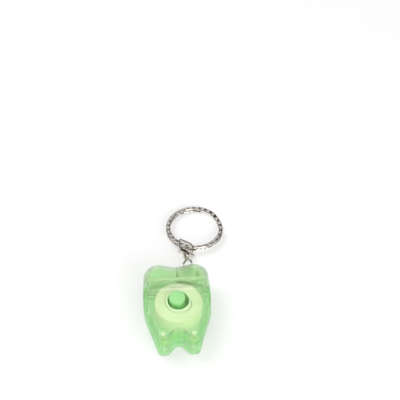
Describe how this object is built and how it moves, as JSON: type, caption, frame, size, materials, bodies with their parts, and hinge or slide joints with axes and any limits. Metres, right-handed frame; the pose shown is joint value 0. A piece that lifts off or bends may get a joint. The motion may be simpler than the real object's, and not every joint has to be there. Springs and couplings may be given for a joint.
{
  "type": "tooth-shaped floss case",
  "caption": "Translucent tooth-shaped dental floss case with a flip-up crown over its cutter, on a swivel and a split key ring.",
  "frame": {"origin": "centre of the case's flat back face, on which it lies", "axes": "+X to the viewer's right across the tooth, +Y from the roots to the crown and on along the key chain, +Z out of the front face"},
  "size_m": [0.0358, 0.0768, 0.015],
  "materials": {
    "shell_green": "translucent green, glossy",
    "lid_green": "translucent green, glossy",
    "cutter_steel": "stamped, bright",
    "core_plastic": "white, matt",
    "floss": "waxed thread",
    "nickel": "nickel plate, polished"
  },
  "bodies": {
    "case": {"front_shell": "shell_green", "back_shell": "shell_green", "cutter_plate": "cutter_steel", "floss_lead": "floss"},
    "bobbin": {"bobbin_core": "core_plastic", "floss_bulk": "floss", "floss_turns": "floss"},
    "lid": {"flip_lid": "lid_green"},
    "ring_link": {"jump_ring": "nickel"},
    "eye": {"swivel_eye": "nickel"},
    "stirrup": {"swivel_stirrup": "nickel"},
    "key_ring": {"split_ring": "nickel"}
  },
  "joints": [
    {"name": "lid_hinge", "type": "hinge", "parent": "case", "child": "lid", "pos_m": [0, 0.0126, 0], "axis": [-1, 0, 0], "range_deg": [0, 110]},
    {"name": "bobbin_spin", "type": "hinge", "parent": "case", "child": "bobbin", "pos_m": [0.00055, 0.0005, 0.0076], "axis": [0, 0, 1], "continuous": true},
    {"name": "jump_ring_swing", "type": "hinge", "parent": "lid", "child": "ring_link", "pos_m": [0.00505, 0.01713, 0.0045], "axis": [1, 0, 0], "range_deg": [-16, 40]},
    {"name": "swivel_eye_swing", "type": "hinge", "parent": "ring_link", "child": "eye", "pos_m": [0.00505, 0.01949, 0.00407], "axis": [0, 0.1812, 0.9835], "range_deg": [-35, 35]},
    {"name": "swivel_spin", "type": "hinge", "parent": "eye", "child": "stirrup", "pos_m": [0.00505, 0.03106, 0.00325], "axis": [0, 1, 0], "continuous": true},
    {"name": "split_ring_swing", "type": "hinge", "parent": "stirrup", "child": "key_ring", "pos_m": [0.00505, 0.03516, 0.00325], "axis": [0.9272, -0.3746, 0], "range_deg": [-5, 40]}
  ]
}
